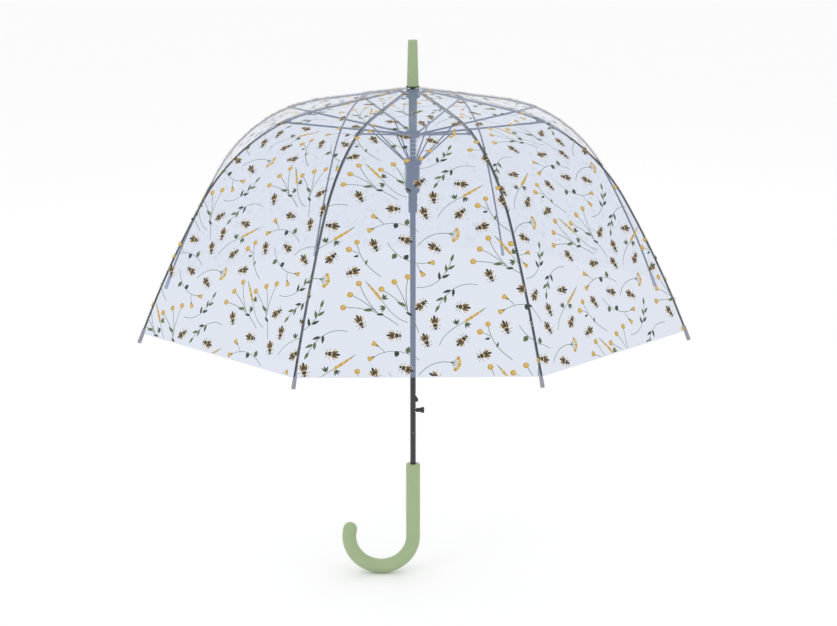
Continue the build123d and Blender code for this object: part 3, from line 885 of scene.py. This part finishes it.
class UMBRELLA_OT_prints(bpy.types.Operator):
    """Print bees and flower sprigs on the film, cut where the panels are joined"""

    bl_idname = "umbrella.prints"
    bl_label = "Prints"

    def execute(self, context):
        sizes = context.scene.umbrella_sizes
        colours = context.scene.umbrella_colours
        skin = dome_outline(sizes.film_gap)
        palette = np.array([[*getattr(colours, ink), 1] for ink in INKS])
        shapes = repeat_shapes()
        halves = {}
        for gore in range(RIBS):
            points, faces, inks = self.panel_print(gore, shapes, skin, sizes)
            for side in (-1, 1):
                number = (gore + (1 if side > 0 else 0) - 1) % RIBS + 1
                for level in ("upper", "lower"):
                    cut = self.cut_print(points, faces, inks, gore, side, number, level)
                    halves.setdefault((number, level), []).append(cut)
        for (number, level), cuts in halves.items():
            self.make_print(number, level, cuts, palette, sizes)
        return {"FINISHED"}

    def panel_print(self, gore, shapes, skin, sizes):
        """All outlines that reach one panel, laid on its surface. A point's place across the
        panel is along its straight chord, and its place along the panel is a length along the
        rib: radius and height follow from that length, and the chord stands cos(half gore) of
        the radius from the shaft."""
        radius, height, length = skin
        low, high = CROWN_MARGIN, length[-1] - HEM_MARGIN
        flat, inks, layers = [], [], []
        drift = np.array(PRINT_DRIFT) * gore % REPEAT
        for column in range(-3, 3):
            for row in range(-3, 5):
                move = drift + (column * REPEAT[0], row * REPEAT[1] + column * REPEAT_SHIFT)
                for outline, ink, layer in shapes:
                    placed = (outline + move) * MM
                    across, run = placed.mean(0) * (1, -1) + (0, length[-1])
                    half = np.interp(run, length, radius) * math.sin(HALF_GORE)
                    if low < run < high + HEM_REACH and abs(across) < half + SIDE_REACH:
                        flat.append(placed)
                        inks.append(ink)
                        layers.append(layer)
        counts = np.array([len(outline) for outline in flat])
        spots = np.concatenate(flat)
        spots[:, 1] = np.clip(length[-1] - spots[:, 1], low, high)
        lift = np.repeat(layers, counts) * sizes.ink_step + sizes.print_gap
        reach = np.interp(spots[:, 1], length, radius)
        rise = np.interp(spots[:, 1], length, height)
        before, after = spots[:, 1] - MM, spots[:, 1] + MM
        slope = np.arctan2(
            np.interp(after, length, height) - np.interp(before, length, height),
            np.interp(after, length, radius) - np.interp(before, length, radius),
        )
        azimuth = gore * GORE
        out = reach * math.cos(HALF_GORE) - lift * np.sin(slope)
        points = out[:, None] * outward(azimuth) + spots[:, :1] * along(azimuth)
        points[:, 2] += rise + lift * np.cos(slope)
        ends = np.cumsum(counts)
        faces = [list(range(end - count, end)) for count, end in zip(counts, ends)]
        return points, faces, inks

    def cut_print(self, points, faces, inks, gore, side, number, level):
        """The part of a panel's print that lies between its middle and one rib, above or below
        the rib's joint, cut with three planes."""
        sheet = bmesh.new()
        kept = sheet.faces.layers.int.new("ink")
        corners = [sheet.verts.new(point) for point in points]
        for face, ink in zip(faces, inks):
            made = sheet.faces.new([corners[k] for k in face])
            made[kept] = ink
        rib = rib_azimuth(number)
        split = outward(rib)
        planes = [
            ((0, 0, 0), side * along(gore * GORE)),
            ((0, 0, 0), -side * along(rib)),
            (split * JOINT[0] * MM, split if level == "lower" else -split),
        ]
        for at, keep_side in planes:
            bmesh.ops.bisect_plane(
                sheet, geom=sheet.verts[:] + sheet.edges[:] + sheet.faces[:], dist=1e-7,
                plane_co=Vector(at), plane_no=Vector(-keep_side), clear_outer=True,
            )
        mesh = bpy.data.meshes.new("cut")
        bmesh.ops.triangulate(sheet, faces=sheet.faces[:])
        cut_inks = np.array([face[kept] for face in sheet.faces], int)
        sheet.to_mesh(mesh)
        sheet.free()
        places = np.empty(len(mesh.vertices) * 3)
        mesh.vertices.foreach_get("co", places)
        polygons = np.array([polygon.vertices[:] for polygon in mesh.polygons]).reshape(-1, 3)
        bpy.data.meshes.remove(mesh)
        return places.reshape(-1, 3), polygons, cut_inks

    def make_print(self, number, level, cuts, palette, sizes):
        """One rib's print, from its two sides, with the inks as corner colours."""
        offset = len(cuts[0][0])
        points = np.concatenate([cut[0] for cut in cuts])
        faces = np.concatenate([cuts[0][1], cuts[1][1] + offset])
        inks = np.concatenate([cut[2] for cut in cuts])
        name = f"print_{level}_{number}"
        piece = new_piece(name, points, faces, material_of("printed_ink"))
        ink = piece.data.color_attributes.new("ink", "FLOAT_COLOR", "CORNER")
        ink.data.foreach_set("color", np.repeat(palette[inks], 3, axis=0).astype(np.float32).ravel())
        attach(piece, f"rib_{level}_{number}")
        fold_sideways(piece)


class UMBRELLA_OT_spring(bpy.types.Operator):
    """Make the opening spring between the runner and the hub: a circle of wire carried along a
    helix, with its first and last circle closed"""

    bl_idname = "umbrella.spring"
    bl_label = "Opening spring"

    def execute(self, context):
        sizes = context.scene.umbrella_sizes
        low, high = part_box("opening_spring")
        wire = sizes.spring_wire
        coil = (high[0] - low[0]) / 2 - wire
        bottom, top = low[2] + wire, high[2] - wire
        steps = sizes.spring_turns * TURN_STEPS
        full_turn = sizes.spring_turns * 2 * math.pi
        turn = np.linspace(0, full_turn, steps + 1)
        rise = np.linspace(bottom, top, steps + 1)
        centre = np.stack([coil * np.cos(turn), coil * np.sin(turn), rise], 1)
        out = np.stack([np.cos(turn), np.sin(turn), 0 * turn], 1)
        tilt = (top - bottom) / full_turn
        run = np.stack([-coil * np.sin(turn), coil * np.cos(turn), 0 * turn + tilt], 1)
        run /= np.linalg.norm(run, axis=1)[:, None]
        up = np.cross(out, run)
        around = np.linspace(0, 2 * math.pi, WIRE_SIDES, endpoint=False)[None, :, None]
        points = centre[:, None] + wire * (
            np.cos(around) * out[:, None] + np.sin(around) * up[:, None]
        )
        sides = np.arange(WIRE_SIDES)
        first = np.arange(steps)[:, None] * WIRE_SIDES
        ring, after = first + sides, first + (sides + 1) % WIRE_SIDES
        quads = np.stack([ring, ring + WIRE_SIDES, after + WIRE_SIDES, after], -1)
        faces = quads.reshape(-1, 4).tolist()
        faces.append(sides.tolist())
        faces.append((steps * WIRE_SIDES + sides[::-1]).tolist())
        piece = new_piece("opening_spring_coil", points, faces, material_of("bright_wire"))
        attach(piece, "runner")
        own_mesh(piece)
        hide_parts("opening_spring")
        return {"FINISHED"}


class UMBRELLA_OT_stage(bpy.types.Operator):
    """Set up the pale floor, the soft studio light and the camera"""

    bl_idname = "umbrella.stage"
    bl_label = "Stage"

    def execute(self, context):
        low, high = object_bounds()
        self.make_floor(context, low[2])
        self.make_lights(context)
        self.make_camera(context)
        context.scene.view_settings.view_transform = "Standard"
        return {"FINISHED"}

    def make_floor(self, context, level):
        """Large level floor just under the crook, evenly pale with a faint unevenness."""
        corners = np.array([(-1, -1, 0), (1, -1, 0), (1, 1, 0), (-1, 1, 0)]) * FLOOR_HALF
        corners[:, 2] = level - 0.5 * MM
        material, tree, shader = new_material("pale_floor")
        tone = tuple(context.scene.umbrella_colours.floor)
        mottle = place_group(tree, mottle_group(), patch_scale=1.5, speck_scale=60.0)
        tree.links.new(
            blend_colours(tree, mottle.outputs["Patches"], scaled(tone, 0.99), tone),
            shader.inputs["Base Color"],
        )
        shader.inputs["Roughness"].default_value = 0.9
        shader.inputs["Specular IOR Level"].default_value = 0.1
        new_piece("floor", corners, [[0, 1, 2, 3]], material)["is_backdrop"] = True

    def make_lights(self, context):
        """White surroundings, a large soft light high on the left and a weaker one opposite."""
        world = bpy.data.worlds.new("studio")
        world.use_nodes = True
        world.node_tree.nodes["Background"].inputs["Color"].default_value = (1, 1, 1, 1)
        world.node_tree.nodes["Background"].inputs["Strength"].default_value = 1.0
        context.scene.world = world
        for name, at, power, size in LIGHTS:
            light = bpy.data.lights.new(name, "AREA")
            light.energy = power
            light.size = size
            lamp = bpy.data.objects.new(name, light)
            lamp.location = at
            sight = Vector(LIGHTS_AIM) - Vector(at)
            lamp.rotation_euler = sight.to_track_quat("-Z", "Y").to_euler()
            context.scene.collection.objects.link(lamp)

    def make_camera(self, context):
        """Camera in front, a little above the crown, looking down at the umbrella."""
        data = bpy.data.cameras.new("camera")
        data.lens, data.sensor_width = CAMERA_LENS, 36
        camera = bpy.data.objects.new("camera", data)
        across = Vector((math.cos(CAMERA_SWING), math.sin(CAMERA_SWING), 0))
        ahead = Vector((-math.sin(CAMERA_SWING), math.cos(CAMERA_SWING), 0))
        camera.location = across * CAMERA_ASIDE - ahead * CAMERA_DISTANCE
        camera.location.z = CROWN_Z + CAMERA_RISE
        sight = ahead * math.cos(CAMERA_DOWN) - Vector((0, 0, math.sin(CAMERA_DOWN)))
        camera.rotation_euler = sight.to_track_quat("-Z", "Y").to_euler()
        context.scene.collection.objects.link(camera)
        context.scene.camera = camera


class UMBRELLA_PT_panel(bpy.types.Panel):
    """Umbrella pieces, sizes and colours in the sidebar"""

    bl_idname = "UMBRELLA_PT_panel"
    bl_label = "Clear dome umbrella"
    bl_space_type = "VIEW_3D"
    bl_region_type = "UI"
    bl_category = "Umbrella"

    def draw(self, context):
        column = self.layout.column()
        for operator in OPERATORS:
            column.operator(operator.bl_idname)
        for group in (context.scene.umbrella_sizes, context.scene.umbrella_colours):
            box = self.layout.box()
            for key in group.__annotations__:
                box.prop(group, key)


OPERATORS = [
    UMBRELLA_OT_stage,
    UMBRELLA_OT_finishes,
    UMBRELLA_OT_prints,
    UMBRELLA_OT_film,
    UMBRELLA_OT_spring,
]


def register():
    """Add the classes and the scene's settings."""
    for made in [UmbrellaSizes, UmbrellaColours, *OPERATORS, UMBRELLA_PT_panel]:
        bpy.utils.register_class(made)
    bpy.types.Scene.umbrella_sizes = bpy.props.PointerProperty(type=UmbrellaSizes)
    bpy.types.Scene.umbrella_colours = bpy.props.PointerProperty(type=UmbrellaColours)


def unregister():
    """Remove the settings and the classes."""
    del bpy.types.Scene.umbrella_colours
    del bpy.types.Scene.umbrella_sizes
    for made in reversed([UmbrellaSizes, UmbrellaColours, *OPERATORS, UMBRELLA_PT_panel]):
        bpy.utils.unregister_class(made)


def main():
    """Make every piece on the loaded frame."""
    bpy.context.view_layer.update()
    register()
    bpy.ops.umbrella.stage()
    bpy.ops.umbrella.finishes()
    bpy.ops.umbrella.prints()
    bpy.ops.umbrella.film()
    bpy.ops.umbrella.spring()


if __name__ == "__main__":
    main()
